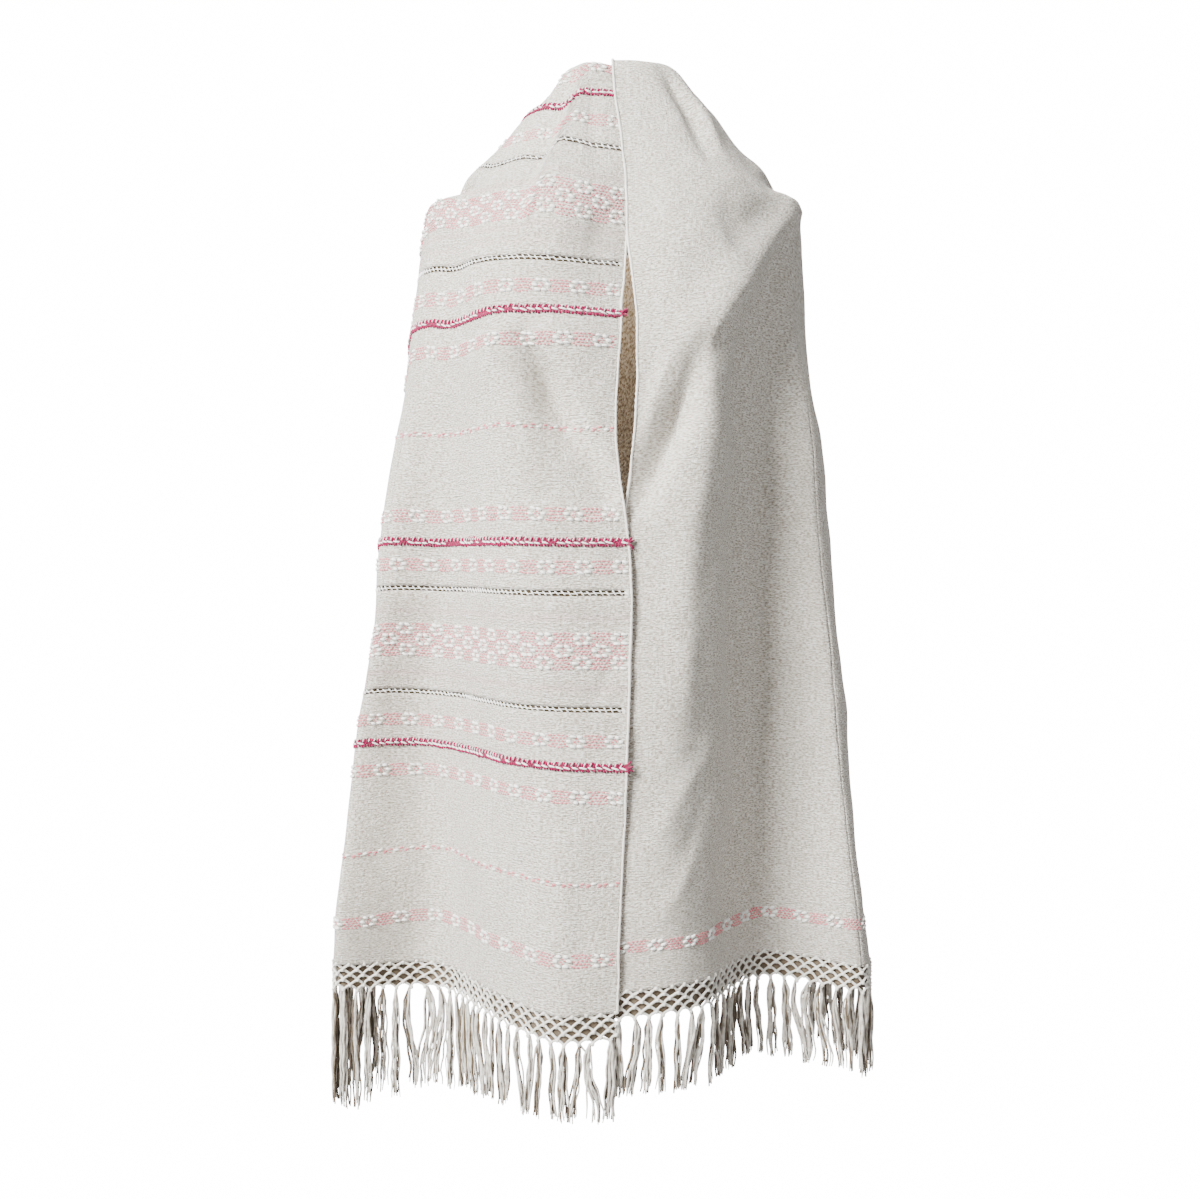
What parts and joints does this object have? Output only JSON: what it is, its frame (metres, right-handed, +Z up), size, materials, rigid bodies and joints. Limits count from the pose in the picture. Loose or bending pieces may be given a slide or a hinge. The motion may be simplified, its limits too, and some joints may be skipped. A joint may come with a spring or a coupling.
{
  "type": "rebozo shawl",
  "caption": "Long woven cotton shawl hung over the shoulders as a cape, one banded and one plain front, with knotted net and tassel fringe at both hems.",
  "frame": {"origin": "on the underside of the cloth at the top of the neck, in the centre plane, where the wearer holds the shawl up", "axes": "+X towards the plain panel's side, +Y from the front to the back, +Z up"},
  "size_m": [0.5758, 0.3083, 1.102],
  "materials": {
    "patterned_cloth": "cream plain-weave cotton with pink and white supplementary-weft bands, matte",
    "plain_cloth": "cream plain-weave cotton, one pink and white band above the hem, matte",
    "back_cloth": "cream plain-weave cotton, the bands run on round the sides, matte",
    "knotted_net": "cream cotton warp cords knotted into diamonds",
    "tassel_fringe": "loose cream cotton warp ends in small tassels"
  },
  "bodies": {
    "root": {"front_left": "patterned_cloth", "front_right": "plain_cloth", "back": "back_cloth", "net_left": "knotted_net", "net_right": "knotted_net", "fringe_left": "tassel_fringe", "fringe_right": "tassel_fringe"}
  },
  "joints": []
}
